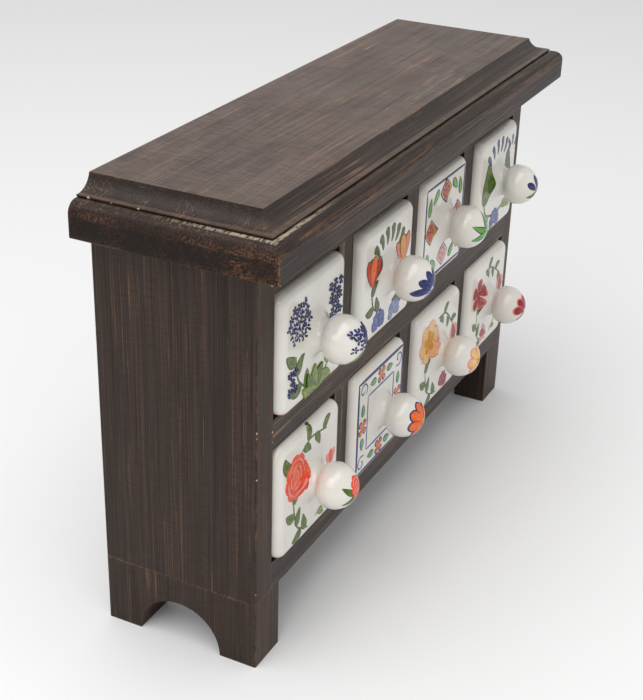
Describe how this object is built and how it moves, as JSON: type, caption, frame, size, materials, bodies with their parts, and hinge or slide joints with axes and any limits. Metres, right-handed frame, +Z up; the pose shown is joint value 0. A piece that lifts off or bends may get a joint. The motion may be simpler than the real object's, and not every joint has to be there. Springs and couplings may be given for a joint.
{
  "type": "apothecary cabinet",
  "caption": "Small tabletop apothecary cabinet: dark stained wooden case on arched feet with a moulded cornice, holding two rows of sliding glazed ceramic drawers with ball knobs.",
  "frame": {"origin": "on the floor plane, middle of the width and middle of the overall depth from knob tips to back", "axes": "+X to the right along the front, +Y from the front to the back, +Z up; the drawers face -Y"},
  "size_m": [0.338, 0.108, 0.224],
  "materials": {
    "stained_wood": "satin, black-brown stain with worn brown edges",
    "back_board": "matt, thin stained board",
    "dowel_wood": "raw beech",
    "glazed_ceramic": "gloss warm-white glaze with hand-painted sprigs",
    "screw_steel": "zinc plated"
  },
  "bodies": {
    "case": {"foot_board_left": "stained_wood", "foot_board_right": "stained_wood", "side_panel_left": "stained_wood", "side_panel_right": "stained_wood", "bottom_board": "stained_wood", "middle_shelf": "stained_wood", "top_board": "stained_wood", "back_panel": "back_board", "cornice_lower_board": "stained_wood", "cornice_upper_board": "stained_wood", "divider_lower_1": "stained_wood", "divider_lower_2": "stained_wood", "divider_lower_3": "stained_wood", "divider_upper_1": "stained_wood", "divider_upper_2": "stained_wood", "divider_upper_3": "stained_wood", "foot_screws": "screw_steel", "cornice_screws": "screw_steel", "shelf_dowels": "dowel_wood", "divider_dowels": "dowel_wood", "back_panel_pins": "screw_steel"},
    "drawer_lower_1": {"drawer_lower_1": "glazed_ceramic"},
    "drawer_lower_2": {"drawer_lower_2": "glazed_ceramic"},
    "drawer_lower_3": {"drawer_lower_3": "glazed_ceramic"},
    "drawer_lower_4": {"drawer_lower_4": "glazed_ceramic"},
    "drawer_upper_1": {"drawer_upper_1": "glazed_ceramic"},
    "drawer_upper_2": {"drawer_upper_2": "glazed_ceramic"},
    "drawer_upper_3": {"drawer_upper_3": "glazed_ceramic"},
    "drawer_upper_4": {"drawer_upper_4": "glazed_ceramic"}
  },
  "joints": [
    {"name": "drawer_lower_1_slide", "type": "slide", "parent": "case", "child": "drawer_lower_1", "axis": [0, -1, 0], "range_m": [0, 0.06]},
    {"name": "drawer_lower_2_slide", "type": "slide", "parent": "case", "child": "drawer_lower_2", "axis": [0, -1, 0], "range_m": [0, 0.06]},
    {"name": "drawer_lower_3_slide", "type": "slide", "parent": "case", "child": "drawer_lower_3", "axis": [0, -1, 0], "range_m": [0, 0.06]},
    {"name": "drawer_lower_4_slide", "type": "slide", "parent": "case", "child": "drawer_lower_4", "axis": [0, -1, 0], "range_m": [0, 0.06]},
    {"name": "drawer_upper_1_slide", "type": "slide", "parent": "case", "child": "drawer_upper_1", "axis": [0, -1, 0], "range_m": [0, 0.06]},
    {"name": "drawer_upper_2_slide", "type": "slide", "parent": "case", "child": "drawer_upper_2", "axis": [0, -1, 0], "range_m": [0, 0.06]},
    {"name": "drawer_upper_3_slide", "type": "slide", "parent": "case", "child": "drawer_upper_3", "axis": [0, -1, 0], "range_m": [0, 0.06]},
    {"name": "drawer_upper_4_slide", "type": "slide", "parent": "case", "child": "drawer_upper_4", "axis": [0, -1, 0], "range_m": [0, 0.06]}
  ]
}
